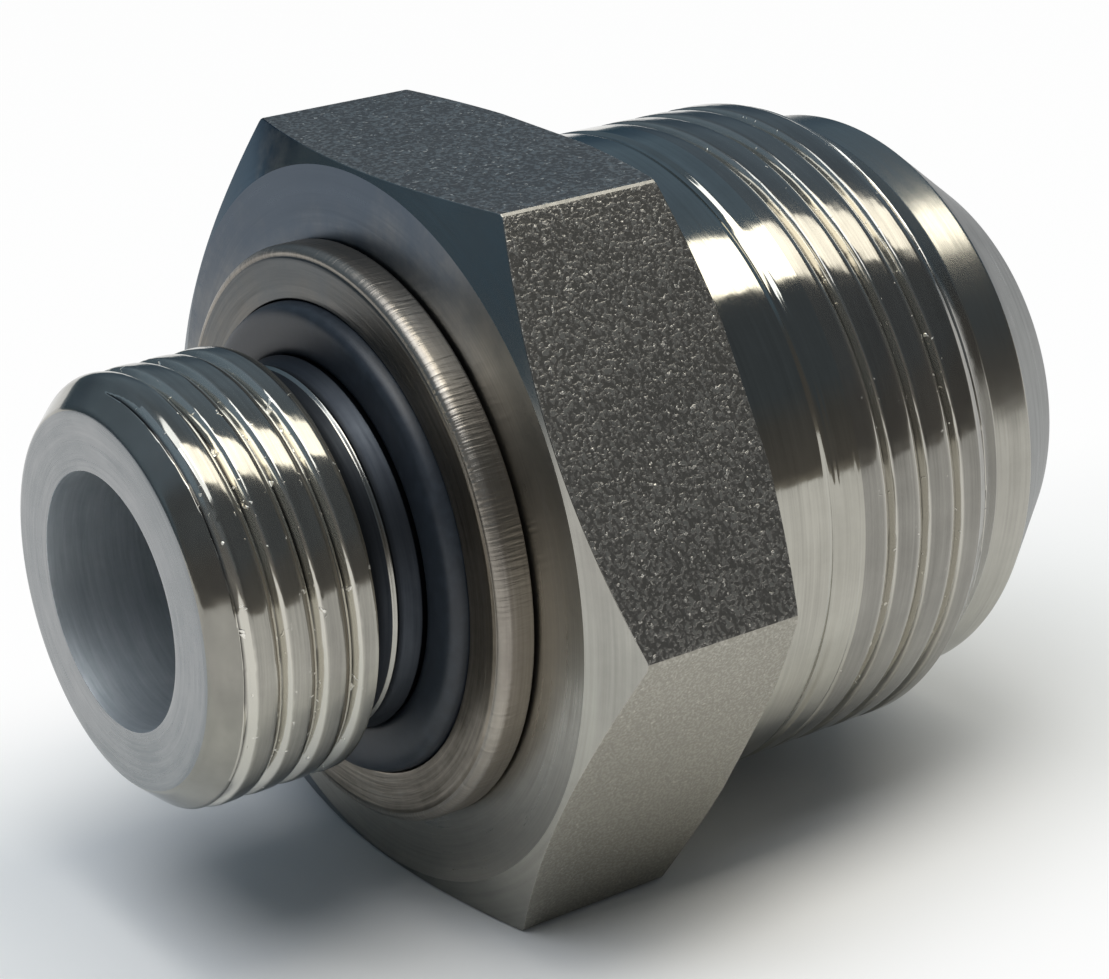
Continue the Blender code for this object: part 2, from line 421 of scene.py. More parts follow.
@dataclass(frozen=True)
class TurnedSteel(Finish):
    """Stainless steel as a lathe tool leaves it, with fine marks round the axis or chatter along it.

    All spacings, depths and sizes are in millimetres. Real feed marks lie 0.05 to 0.1 mm apart, which is one or two
    pixels, so they are drawn at 0.12 to 0.14 mm to show at all. The painted shade colour, a dark colour that stands
    in for the dark room that the steel mirrors, sets in between the painted shade's from and to distances along its
    run. A thread's walls can take a lighter flank colour, partly a brighter cut finish and partly painted highlight,
    its root a dark painted shade, and its nicks near white painted glints. The edge tint is how much of the light is
    left that the steel mirrors at a low angle.
    """

    marks: Marks = Marks.ROUND
    spacing: float = 0.10
    depth: float = 0.002
    blotch: float = 0.35
    chatter: float = 0.0
    root_colour: str = "#3c3a37"
    flank_colour: str = ""
    stain_colour: str = ""
    stain_run: tuple[float, float, float] = (0.0, 0.35, 1.0)
    stain_from: float = 6.5
    stain_to: float = 23.0
    ripple: float = 0.0
    nick_size: float = 0.0
    nick_floor: float = 0.655
    edge_tint: str = "#ffffff"
    metallic: float = 1.0

    def material(self, axis: Axis) -> bpy.types.Material:
        """Build the material.

        Args:
            axis: the turning axis.

        Returns:
            The new material.
        """
        material, tree, shader = self.start()
        solid = self.solid_place(tree, axis)
        fine_place = self.lathe_place(tree, solid, 1.0 / self.spacing, 1.6)
        broad_place = self.lathe_place(tree, solid, 1.1, 1.1)
        fine = add_node(tree, "TexNoise", {"Vector": fine_place, "Scale": 1.0, "Detail": 3.0,
                                           "Roughness": 0.6}).outputs["Fac"]
        broad = add_node(tree, "TexNoise", {"Vector": broad_place, "Scale": 1.0, "Detail": 4.0,
                                            "Roughness": 0.6}).outputs["Fac"]
        cloud = add_node(tree, "TexNoise", {"Vector": solid, "Scale": self.blotch, "Detail": 5.0,
                                            "Roughness": 0.65}).outputs["Fac"]
        tone = add_node(tree, "Math", {0: fine, 1: FINE_SHARE, 2: 0.0}, operation="MULTIPLY_ADD").outputs[0]
        tone = add_node(tree, "Math", {0: broad, 1: BROAD_SHARE, 2: tone}, operation="MULTIPLY_ADD").outputs[0]
        tone = add_node(tree, "Math", {0: cloud, 1: CLOUD_SHARE, 2: tone}, operation="MULTIPLY_ADD").outputs[0]
        colour = add_node(tree, "ValToRGB", {"Fac": tone}, stops=[
            (0.38, self.second_colour), (0.60, self.colour)]).outputs["Color"]
        rough = add_node(tree, "MapRange", {"Value": tone, "From Min": 0.38, "From Max": 0.62,
                                            "To Min": self.roughness + self.roughness_spread,
                                            "To Max": self.roughness - self.roughness_spread}).outputs["Result"]
        # Groove walls take the lighter flank colour, partly a brighter cut finish and partly painted highlight; the
        # deepest part of the root takes a dark colour as painted shade.
        if self.flank_colour:
            deep = add_node(tree, "Attribute", attribute_name=CUT_DEPTH).outputs["Fac"]
            flank = add_node(tree, "ValToRGB", {"Fac": deep}, stops=[
                (0.0, self.flank_colour), (0.72, self.flank_colour), (0.98, self.root_colour)]).outputs["Color"]
            share = add_node(tree, "MapRange", {"Value": deep, "From Min": 0.04, "From Max": 0.16}).outputs["Result"]
            colour = add_node(tree, "Mix", {0: share, 6: colour, 7: flank}, data_type="RGBA").outputs[2]
        # Painted shade: a dark colour laid over one part of the surface, set by its place, standing in for the dark
        # room that the steel mirrors.
        if self.stain_colour:
            rise = add_node(tree, "VectorMath", {0: solid, 1: self.stain_run},
                            operation="DOT_PRODUCT").outputs["Value"]
            rise = add_node(tree, "Math", {0: cloud, 1: STAIN_WANDER, 2: rise}, operation="MULTIPLY_ADD").outputs[0]
            stained = add_node(tree, "MapRange", {"Value": rise, "From Min": self.stain_from,
                                                  "From Max": self.stain_to},
                               interpolation_type="SMOOTHSTEP").outputs["Result"]
            colour = add_node(tree, "Mix", {0: stained, 6: colour, 7: srgb(self.stain_colour)},
                              data_type="RGBA").outputs[2]
        # Nicks on the thread edges: small rough dents, painted near white as painted glints.
        if self.nick_size:
            nick = add_node(tree, "TexNoise", {"Vector": solid, "Scale": 0.5 / self.nick_size, "Detail": 2.0,
                                               "Distortion": 0.5}).outputs["Fac"]
            nick = add_node(tree, "MapRange", {"Value": nick, "From Min": self.nick_floor,
                                               "From Max": self.nick_floor + 0.04}).outputs["Result"]
            if self.flank_colour:
                edge = add_node(tree, "MapRange", {"Value": deep, "From Min": 0.012,
                                                   "From Max": 0.05}).outputs["Result"]
                nick = add_node(tree, "Math", {0: nick, 1: edge}, operation="MULTIPLY").outputs[0]
            colour = add_node(tree, "Mix", {0: nick, 6: colour, 7: srgb(NICK_COLOUR)}, data_type="RGBA").outputs[2]
            rough = add_node(tree, "Math", {0: nick, 1: 0.25, 2: rough}, operation="MULTIPLY_ADD").outputs[0]
            fine = add_node(tree, "Math", {0: nick, 1: 12.0, 2: fine}, operation="MULTIPLY_ADD").outputs[0]
        tree.links.new(colour, shader.inputs["Base Color"])
        tree.links.new(rough, shader.inputs["Roughness"])
        bump = add_node(tree, "Bump", {"Height": fine, "Strength": 1.0, "Distance": self.depth * MM})
        if self.ripple:
            swell = add_node(tree, "TexNoise", {"Vector": solid, "Scale": 0.40, "Detail": 2.0,
                                                "Roughness": 0.55}).outputs["Fac"]
            bump = add_node(tree, "Bump", {"Height": swell, "Strength": 1.0, "Distance": self.ripple * MM,
                                           "Normal": bump.outputs["Normal"]})
        if self.marks is Marks.ALONG:
            ribs_place = self.lathe_place(tree, solid, 0.45, 75.0)
            ribs = add_node(tree, "TexNoise", {"Vector": ribs_place, "Scale": 1.0, "Detail": 2.0}).outputs["Fac"]
            bump = add_node(tree, "Bump", {"Height": ribs, "Strength": 1.0, "Distance": self.chatter * MM,
                                           "Normal": bump.outputs["Normal"]})
        tree.links.new(bump.outputs["Normal"], shader.inputs["Normal"])
        shader.inputs["Metallic"].default_value = self.metallic
        shader.inputs["Specular Tint"].default_value = srgb(self.edge_tint)
        return material


@dataclass(frozen=True)
class BarSteel(Finish):
    """Hexagon bar skin, shot blasted and pickled, as it comes from the mill.

    Blasting leaves shallow dents of about 0.2 mm, four or five pixels. The raised parts are painted lighter and the
    dents darker, partly the skin's own grain and partly painted highlight and shade, and a few spots are painted
    near white as painted glints. Sizes and depths are in millimetres.
    """

    dent: float
    dent_depth: float
    ridge_colour: str
    # Colour of the painted glints.
    glint_colour: str = "#e6e2d8"
    glint_height: float = 0.5

    def material(self, axis: Axis) -> bpy.types.Material:
        """Build the material.

        Args:
            axis: the turning axis.

        Returns:
            The new material.
        """
        material, tree, shader = self.start()
        solid = self.solid_place(tree, axis)
        flecks = add_node(tree, "TexNoise", {"Vector": solid, "Scale": 1.18 / self.dent, "Detail": 1.5,
                                             "Roughness": 0.5, "Distortion": 0.3}).outputs["Fac"]
        grit = add_node(tree, "TexNoise", {"Vector": solid, "Scale": 3.0 / self.dent, "Detail": 2.0,
                                           "Roughness": 0.6}).outputs["Fac"]
        cloud = add_node(tree, "TexNoise", {"Vector": solid, "Scale": 0.25, "Detail": 4.0,
                                            "Roughness": 0.6}).outputs["Fac"]
        raised = add_node(tree, "MapRange", {"Value": flecks, "From Min": 0.40, "From Max": 0.67},
                          interpolation_type="SMOOTHSTEP").outputs["Result"]
        height = add_node(tree, "Math", {0: grit, 1: 0.35, 2: raised}, operation="MULTIPLY_ADD").outputs[0]
        tone = add_node(tree, "Math", {0: cloud, 1: 0.5, 2: height}, operation="MULTIPLY_ADD").outputs[0]
        tone = add_node(tree, "Math", {0: tone, 1: 0.5}, operation="MULTIPLY").outputs[0]
        # Colour follows the height: lighter on the raised parts and darker in the dents, partly grain and partly
        # painted highlight and shade.
        colour = add_node(tree, "ValToRGB", {"Fac": tone}, stops=[
            (0.22, self.second_colour), (0.44, self.colour), (0.70, self.ridge_colour)]).outputs["Color"]
        # Painted glints: a few small spots painted in the glint colour.
        glint = add_node(tree, "TexNoise", {"Vector": solid, "Scale": 0.9 / self.dent, "Detail": 1.0}).outputs["Fac"]
        glint = add_node(tree, "MapRange", {"Value": glint, "From Min": 0.69, "From Max": 0.73}).outputs["Result"]
        colour = add_node(tree, "Mix", {0: glint, 6: colour, 7: srgb(self.glint_colour)},
                          data_type="RGBA").outputs[2]
        height = add_node(tree, "Math", {0: glint, 1: self.glint_height, 2: height},
                          operation="MULTIPLY_ADD").outputs[0]
        rough = add_node(tree, "MapRange", {"Value": height, "From Min": 0.1, "From Max": 1.3,
                                            "To Min": self.roughness + self.roughness_spread,
                                            "To Max": self.roughness - self.roughness_spread}).outputs["Result"]
        tree.links.new(colour, shader.inputs["Base Color"])
        tree.links.new(rough, shader.inputs["Roughness"])
        bump = add_node(tree, "Bump", {"Height": height, "Strength": 1.0, "Distance": self.dent_depth * MM})
        tree.links.new(bump.outputs["Normal"], shader.inputs["Normal"])
        shader.inputs["Metallic"].default_value = 1.0
        return material


@dataclass(frozen=True)
class Rubber(Finish):
    """Nitrile rubber from a polished mould, lightly oiled: black with a soft gloss and a little dust."""

    def material(self, axis: Axis) -> bpy.types.Material:
        """Build the material.

        Args:
            axis: the turning axis.

        Returns:
            The new material.
        """
        material, tree, shader = self.start()
        solid = self.solid_place(tree, axis)
        dust = add_node(tree, "TexNoise", {"Vector": solid, "Scale": 1.4, "Detail": 5.0,
                                           "Roughness": 0.7}).outputs["Fac"]
        colour = add_node(tree, "ValToRGB", {"Fac": dust}, stops=[
            (0.45, self.colour), (0.75, self.second_colour)]).outputs["Color"]
        rough = add_node(tree, "MapRange", {"Value": dust, "To Min": self.roughness - self.roughness_spread,
                                            "To Max": self.roughness + self.roughness_spread}).outputs["Result"]
        tree.links.new(colour, shader.inputs["Base Color"])
        tree.links.new(rough, shader.inputs["Roughness"])
        bump = add_node(tree, "Bump", {"Height": dust, "Strength": 0.6, "Distance": 0.01 * MM})
        tree.links.new(bump.outputs["Normal"], shader.inputs["Normal"])
        return material


# Fine turned steel: nearly a mirror round the axis, so soft boxes and floor show as crisp bands with a warm grey.
TURNED = TurnedSteel("turned_stainless_steel", "#aeaca2", "#9b9990", 0.085, 0.025, spacing=0.14, depth=0.0018,
                     ripple=0.020)
# The plain nose is brushed a little more softly than the shank, so its bright band is broader and calmer.
NOSE = TurnedSteel("brushed_nose_steel", "#aba9a0", "#9b9991", 0.23, 0.04, spacing=0.14, depth=0.0018, ripple=0.020)
# Thread crests after cutting: duller and browner than the plain turning. The groove walls are lighter, partly a
# brighter cut finish and partly painted highlight; nicks of about 0.2 mm on their edges are painted near white as
# painted glints; and the root is painted dark as painted shade.
STUD_THREAD = TurnedSteel("cut_thread_steel", "#a09e95", "#88867f", 0.11, 0.03, spacing=0.12, depth=0.0014,
                          flank_colour="#c9c6bc", root_colour="#2f2d2b", ripple=0.035, nick_size=0.24,
                          nick_floor=0.68, metallic=0.92)
# The coarse thread is a little darker than the stud's and has fewer and smaller nicks. Its walls, root and nicks are
# painted as on the stud: partly painted highlight, painted shade and painted glints.
COARSE_THREAD = TurnedSteel("coarse_thread_steel", "#93918a", "#7d7b75", 0.12, 0.04, spacing=0.13, depth=0.0014,
                            flank_colour="#bcb9b0", root_colour="#33312f", ripple=0.035, nick_size=0.18,
                            nick_floor=0.71, metallic=0.93)
# The end face is faced off with a slow feed: rings so fine that they only soften what it mirrors.
END_FACE = TurnedSteel("faced_end_steel", "#989a9b", "#868a8c", 0.26, 0.05, spacing=0.14, depth=0.003)
# The hexagon's turned face is duller than the end face. Its colour goes from light warm grey to a dark blue grey
# towards the top: painted shade and painted reflection, standing in for the dark room that the face mirrors there.
HEX_FACE = TurnedSteel("stained_face_steel", "#ada9a0", "#96928a", 0.32, 0.06, spacing=0.12, depth=0.003,
                       stain_colour="#46515d")
# The chamfers of the hexagon are cleaner than its face and mirror the room more sharply. On their +Y side they carry
# painted shade, a dark blue grey in place of the bright floor that they would mirror, so there they stay dark even
# at a low angle.
CHAMFER = TurnedSteel("chamfer_cut_steel", "#aeaca4", "#9a9891", 0.20, 0.05, spacing=0.14, depth=0.002,
                      stain_colour="#50606e", stain_run=(0.0, 1.0, 0.0), stain_from=9.0, stain_to=15.5,
                      edge_tint="#b8bbbd")
# The cone seat is ground: an even light grey that stays calm even at a low angle.
SEAT = TurnedSteel("ground_seat_steel", "#a6a8a6", "#959795", 0.30, 0.04, spacing=0.20, depth=0.002,
                   edge_tint="#cacaca")
# A drilled bore is scored round its wall and scatters the light that gets in. Its scores are drawn 0.24 mm apart.
BORED = TurnedSteel("drilled_bore_steel", "#c3c8cb", "#a4abaf", 0.60, 0.06, spacing=0.24, depth=0.006)
# The neck is painted dark blue grey: painted shade for its recess between the thread and the rubber ring.
NECK = TurnedSteel("oiled_neck_steel", "#43474c", "#34383e", 0.48, 0.06, spacing=0.14, depth=0.003)
# The ring's flat face is turned coarsely: brownish grey grooves about 0.15 mm apart, drawn 0.24 mm apart so that
# they show. Towards the top it carries painted shade, a darker grey that stands in for the dark room that it
# mirrors.
RING_FACE = TurnedSteel("grooved_ring_steel", "#a0978a", "#5c564c", 0.36, 0.06, spacing=0.24, depth=0.026,
                        stain_colour="#525658")
# The ring's rim shows chatter across it, ribs about 0.2 mm apart that break its bright band.
RING_RIM = TurnedSteel("chattered_rim_steel", "#a39d93", "#89837b", 0.38, 0.05, marks=Marks.ALONG, spacing=0.14,
                       depth=0.003, chatter=0.040)
# The upper edges of the hexagon are rubbed by spanners: smooth, and lighter than the blasted flats. Only the upward
# facing edges get it, so the lighter colour is partly wear and partly painted highlight.
RUBBED = TurnedSteel("rubbed_edge_steel", "#b9b6ae", "#8f8d86", 0.40, 0.08, spacing=0.3, depth=0.004)
# The side flats above the middle keep the coarse blasted skin: dark grey with small lighter ridges, which are partly
# grain and partly painted highlight.
BAR_FLAT = BarSteel("blasted_bar_steel", "#82807c", "#6c6b67", 0.42, 0.06, dent=0.24, dent_depth=0.016,
                    ridge_colour="#adaba4")
# The top flat has the same skin, painted a shade lighter and cooler: painted light for the top.
TOP_FLAT = BarSteel("blasted_upper_steel", "#888784", "#72716f", 0.42, 0.06, dent=0.24, dent_depth=0.016,
                    ridge_colour="#b1afa9")
# The lower flats are blasted more finely: an even satin, and painted paler than the upper ones as painted light.
FINE_FLAT = BarSteel("satin_bar_steel", "#a19e94", "#99968c", 0.42, 0.04, dent=0.16, dent_depth=0.008,
                     ridge_colour="#aca99f", glint_colour="#c2beb4", glint_height=0.1)
# The seal is moulded black rubber with a film of oil, which gives it a soft blue black gloss.
RUBBER = Rubber("black_nitrile_rubber", "#21272e", "#2d343c", 0.42, 0.06)


def dress(piece: bpy.types.Object, finishes: list[Finish], axis: Axis, slots: np.ndarray) -> None:
    """Give a piece its materials.

    Args:
        piece: the piece.
        finishes: its finishes in order.
        axis: the turning axis.
        slots: the finish number of each face.
    """
    piece.data.materials.clear()
    for finish in finishes:
        ready = bpy.data.materials.get(finish.name)
        piece.data.materials.append(ready if ready is not None else finish.material(axis))
    piece.data.polygons.foreach_set("material_index", slots.astype(np.int32))
    piece.data.update()


def face_places(piece: bpy.types.Object, axis: Axis) -> tuple[np.ndarray, np.ndarray, np.ndarray]:
    """Measure the faces of a piece.

    Args:
        piece: the piece.
        axis: the turning axis.

    Returns:
        For each face its middle along the axis and out from it, in millimetres, and its normal.
    """
    count = len(piece.data.polygons)
    centre = np.empty(count * 3)
    normal = np.empty(count * 3)
    piece.data.polygons.foreach_get("center", centre)
    piece.data.polygons.foreach_get("normal", normal)
    centre = centre.reshape(-1, 3)
    out = np.hypot(centre[:, 1] / MM, centre[:, 2] / MM - axis.height)
    return centre[:, 0] / MM - axis.face, out, normal.reshape(-1, 3)


def hand_over(piece: bpy.types.Object, node: str) -> None:
    """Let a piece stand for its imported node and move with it.

    Args:
        piece: the finished piece.
        node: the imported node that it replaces.
    """
    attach(piece, "root")
    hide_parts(node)
    log.info("%s: %d faces for %s", piece.name, len(piece.data.polygons), node)


@dataclass
class Stud:
    """The short end: fine thread, neck and narrow bore."""

    axis: Axis
    radius: float = 10.4
    neck_radius: float = 8.85
    neck_length: float = 5.97
    chamfer_depth: float = 1.38
    chamfer_length: float = 1.5
    bead_height: float = 0.14
    seat_height: float = 0.34
    tube_radius: float = 7.5
    bore_depth: float = 7.0
    pitch: float = 1.814
    row: float = 0.045
    steps: int = 320

    def corners(self) -> list[Corner]:
        """List the blank's corners, from the end face along the outside and back through the bore.

        Returns:
            The corners, with the small bead on the neck and the low slope up to the rubber ring.
        """
        end = -STUD_LENGTH
        face = self.radius - self.chamfer_depth
        under_ring = self.neck_radius + 0.035
        return [
            Corner(end, BORE_RADIUS + 0.2, 0.03, 0.5),
            Corner(end, face, 0.26, self.row),
            Corner(end + self.chamfer_length, self.radius, 0.40, self.row),
            Corner(-self.neck_length, self.radius, 0.03, 0.1),
            Corner(-self.neck_length + 0.23, self.neck_radius + 0.54, 0.1, 0.1),
            Corner(-self.neck_length + 0.9, self.neck_radius, 0.4, 0.4),
            Corner(-4.22, self.neck_radius, 0.04),
            Corner(-4.07, self.neck_radius + self.bead_height, 0.07),
            Corner(-3.92, self.neck_radius, 0.04),
            Corner(-3.70, self.neck_radius, 0.2),
            Corner(-2.80, self.neck_radius + self.seat_height, 0.10),
            Corner(-2.72, under_ring),
            Corner(0.4, under_ring),
            Corner(0.4, self.tube_radius),
            Corner(MEETING, self.tube_radius),
            Corner(MEETING, BORE_RADIUS, 0.0, 1.0),
            Corner(end + self.bore_depth, BORE_RADIUS, 0.05, 1.0),
        ]

    def thread(self) -> Thread:
        """Set up the stud's fine thread.

        Returns:
            The thread, which runs out into the neck.
        """
        return Thread(radius=self.radius, pitch=self.pitch, phase=-self.neck_length - 2.16 * self.pitch,
                      start=-STUD_LENGTH + 0.35, end=-self.neck_length + 0.3, fade_in=0.25, burr=0.022, seed=5,
                      profile=((0.0, 0.020), (0.05, 0.008), (0.12, 0.002), (0.28, 0.0), (0.42, 0.004),
                               (0.50, 0.014), (0.58, 0.036), (0.65, 0.070), (0.71, 0.115), (0.745, 0.160),
                               (0.765, 0.26), (0.795, 0.285), (0.82, 0.265), (0.87, 0.190), (0.92, 0.115),
                               (0.96, 0.060), (1.0, 0.020)))

    def build(self) -> None:
        """Model and dress the stud."""
        piece = turn("stud", self.corners(), self.steps, self.axis)
        self.thread().cut(piece, self.axis)
        place, out, normal = face_places(piece, self.axis)
        finishes = [TURNED, STUD_THREAD, END_FACE, BORED, NECK, CHAMFER]
        outside = out > 8.0
        neck = -self.neck_length + 0.1
        slots = np.zeros(len(place))
        slots[(place > -STUD_LENGTH + 0.02) & (place < neck) & outside] = finishes.index(STUD_THREAD)
        slots[(place < -STUD_LENGTH + 0.05) & (out > BORE_RADIUS)] = finishes.index(END_FACE)
        slots[(out < BORE_RADIUS + 0.25) & (np.abs(normal[:, 0]) < 0.7)] = finishes.index(BORED)
        # The neck takes its dark colour as painted shade for the recess.
        slots[(place > neck) & outside] = finishes.index(NECK)
        slots[(place > -4.3) & (place < -3.95) & outside] = finishes.index(CHAMFER)
        dress(piece, finishes, self.axis, slots)
        hand_over(piece, "adapter_body")


@dataclass
class Hexagon:
    """The spanner hexagon with its turned faces, rubbed long edges and small burr round its chamfers."""

    axis: Axis
    flat: float = 18.0
    width: float = HEXAGON_WIDTH
    front_circle: float = 17.76
    back_circle: float = 18.28
    lean: float = math.tan(math.radians(24.0))
    hole: float = 7.2
    blank_radius: float = 21.5
    edge: float = 0.30
    burr: float = 0.05
    steps: int = 360

    def bar(self) -> bpy.types.Object:
        """Cut a length of hexagon bar, with one flat on top.

        Returns:
            The bar, longer than the hexagon on both sides.
        """
        deselect()
        corner = self.flat / math.cos(math.radians(30.0))
        bpy.ops.mesh.primitive_cylinder_add(vertices=6, radius=corner * MM, depth=self.width * 2 * MM,
                                            location=self.axis.point(self.width / 2, 0),
                                            rotation=(0, math.pi / 2, 0))
        bar = bpy.context.object
        bar.name = "hexagon"
        bpy.ops.object.transform_apply(location=True, rotation=True, scale=True)
        points = np.array([vertex.co for vertex in bar.data.vertices])
        if abs(np.ptp(points[:, 2]) / MM - 2 * self.flat) > 0.01:
            bpy.ops.object.mode_set(mode="EDIT")
            bpy.ops.mesh.select_all(action="SELECT")
            bpy.ops.transform.rotate(value=math.radians(30.0), orient_axis="X",
                                     center_override=self.axis.point(0, 0))
            bpy.ops.object.mode_set(mode="OBJECT")
        return bar

    def blank(self) -> bpy.types.Object:
        """Turn the round form that the bar is cut to.

        Returns:
            The blank, with a chamfer on both sides and a hole through it.
        """
        front = (self.blank_radius - self.front_circle) * self.lean
        back = (self.blank_radius - self.back_circle) * self.lean
        return turn("hexagon_blank", [
            Corner(0.0, self.hole), Corner(0.0, self.front_circle), Corner(front, self.blank_radius),
            Corner(self.width - back, self.blank_radius), Corner(self.width, self.back_circle),
            Corner(self.width, self.hole),
        ], self.steps, self.axis)

    def break_edges(self, bar: bpy.types.Object, name: str, width: float, segments: int) -> None:
        """Round the sharp edges of the bar.

        Args:
            bar: the bar.
            name: the modifier's name.
            width: how far the rounding reaches on each side of an edge, in millimetres.
            segments: the number of faces across the rounding.
        """
        rounding = bar.modifiers.new(name, "BEVEL")
        rounding.width = width * MM
        rounding.segments = segments
        rounding.limit_method = "ANGLE"
        rounding.angle_limit = math.radians(40.0)
        bpy.ops.object.modifier_apply(modifier=rounding.name)

    def build(self) -> None:
        """Cut the hexagon out of rubbed bar, break its new edges and dress it."""
        bar = self.bar()
        self.break_edges(bar, "rubbed_edges", self.edge, 3)
        blank = self.blank()
        deselect()
        bar.select_set(True)
        bpy.context.view_layer.objects.active = bar
        facing = bar.modifiers.new("turned_faces", "BOOLEAN")
        facing.operation = "INTERSECT"
        facing.solver = "EXACT"
        facing.object = blank
        bpy.ops.object.modifier_apply(modifier=facing.name)
        bpy.data.objects.remove(blank, do_unlink=True)
        bpy.ops.object.mode_set(mode="EDIT")
        bpy.ops.mesh.select_all(action="SELECT")
        bpy.ops.mesh.remove_doubles(threshold=2 * MERGE_DISTANCE)
        bpy.ops.object.mode_set(mode="OBJECT")
        self.break_edges(bar, "broken_edges", self.burr, 2)
        bpy.ops.object.shade_smooth_by_angle(angle=math.radians(14.0))
        self.dress_faces(bar)
        hand_over(bar, "adapter_body")

    def dress_faces(self, bar: bpy.types.Object) -> None:
        """Give each face of the hexagon its finish, by the way it looks.

        Args:
            bar: the finished hexagon.
        """
        _, out, normal = face_places(bar, self.axis)
        finishes = [HEX_FACE, BAR_FLAT, FINE_FLAT, RUBBED, CHAMFER, TOP_FLAT]
        sideways = np.abs(normal[:, 0])
        upward = normal[:, 2]
        around = np.degrees(np.arctan2(upward, normal[:, 1]))
        off_flat = 30.0 - np.abs((around - 30.0) % 60.0 - 30.0)
        outer = out > 15.0
        upright = (sideways < 0.5) & outer
        slots = np.zeros(len(out))
        slots[(sideways < 0.985) & outer] = finishes.index(CHAMFER)
        # The flats share one blasted skin in lighter and darker copies by the way they face, which is painted light.
        slots[upright & (upward > 0.2)] = finishes.index(BAR_FLAT)
        slots[upright & (upward > 0.8)] = finishes.index(TOP_FLAT)
        slots[upright & (upward <= 0.2)] = finishes.index(FINE_FLAT)
        # Only the upward facing edges take the lighter rubbed finish, which is partly painted highlight.
        slots[upright & (off_flat > 20.0) & (upward > 0.5)] = finishes.index(RUBBED)
        dress(bar, finishes, self.axis, slots)


@dataclass
class ConeEnd:
    """The larger end: shank, coarse thread, nose, cone and wide bore."""

    axis: Axis
    radius: float = 16.55
    shank_end: float = 15.07
    groove_width: float = 0.85
    groove_depth: float = 0.15
    thread_length: float = 8.7
    taper_length: float = 2.46
    nose_radius: float = 15.05
    nose_length: float = 2.3
    cone_length: float = 4.82
    cone_angle: float = 37.0
    wide_bore_depth: float = 22.2
    drill_angle: float = 59.0
    lip: float = 0.7
    core_radius: float = 12.0
    overlap: float = 0.5
    pitch: float = 2.117
    row: float = 0.06
    steps: int = 330

    def corners(self) -> list[Corner]:
        """List the blank's corners, from the hexagon along the outside and back through the wide bore.

        Returns:
            The corners, with the small groove at the end of the shank and the drill point of the bore.
        """
        start = self.shank_end + self.groove_width
        end = start + self.thread_length
        nose = end + self.taper_length
        nose_end = nose + self.nose_length
        tip = nose_end + self.cone_length
        tip_radius = self.nose_radius - self.cone_length * math.tan(math.radians(self.cone_angle))
        wide = tip_radius - self.lip
        bottom = tip - self.wide_bore_depth
        drill = bottom - (wide - BORE_RADIUS) / math.tan(math.radians(self.drill_angle))
        groove = self.radius - self.groove_depth
        rear = HEXAGON_WIDTH - self.overlap
        return [
            Corner(rear, self.radius, 0.0, 0.9),
            Corner(self.shank_end, self.radius, 0.05),
            Corner(self.shank_end + 0.45 * self.groove_width, groove, 0.08),
            Corner(self.shank_end + 0.80 * self.groove_width, groove, 0.08),
            Corner(start, self.radius, 0.05, self.row),
            Corner(end, self.radius, 0.06, self.row),
            Corner(nose, self.nose_radius, 0.1, 0.5),
            Corner(nose_end, self.nose_radius, 0.12, 0.5),
            Corner(tip, tip_radius, 0.12, 0.2),
            Corner(tip, wide, 0.12, 1.5),
            Corner(bottom, wide, 0.1, 0.5),
            Corner(drill, BORE_RADIUS, 0.05),
            Corner(MEETING, BORE_RADIUS),
            Corner(MEETING, self.core_radius),
            Corner(rear, self.core_radius),
        ]

    def thread(self) -> Thread:
        """Set up the cone end's coarse thread.

        Returns:
            The thread, which sinks in gradually after the small groove and runs out on the taper.
        """
        start = self.shank_end + self.groove_width
        return Thread(radius=self.radius, pitch=self.pitch, phase=start + 0.985 * self.pitch,
                      start=start + 0.5 * self.pitch, end=start + self.thread_length + self.taper_length + 0.3,
                      fade_in=0.60, burr=0.012, seed=11,
                      profile=((0.0, 0.012), (0.05, 0.003), (0.20, 0.0), (0.42, 0.003), (0.55, 0.010),
                               (0.64, 0.026), (0.71, 0.055), (0.77, 0.100), (0.80, 0.140), (0.82, 0.235),
                               (0.85, 0.265), (0.88, 0.235), (0.92, 0.150), (0.96, 0.065), (0.985, 0.024),
                               (1.0, 0.012)))

    def build(self) -> None:
        """Model and dress the cone end."""
        piece = turn("cone_end", self.corners(), self.steps, self.axis)
        self.thread().cut(piece, self.axis)
        place, out, normal = face_places(piece, self.axis)
        finishes = [TURNED, COARSE_THREAD, BORED, SEAT, NOSE]
        start = self.shank_end + self.groove_width
        nose = start + self.thread_length + self.taper_length
        facing_out = normal[:, 0] > 0.4
        slots = np.zeros(len(place))
        slots[(place > start + 1.4) & (out > 13.0)] = finishes.index(COARSE_THREAD)
        slots[(place > nose - 0.05) & (out > 14.0)] = finishes.index(NOSE)
        slots[facing_out & (place > nose + self.nose_length - 0.1)] = finishes.index(SEAT)
        slots[(out < 11.0) & (normal[:, 0] < 0.4)] = finishes.index(BORED)
        dress(piece, finishes, self.axis, slots)
        hand_over(piece, "adapter_body")


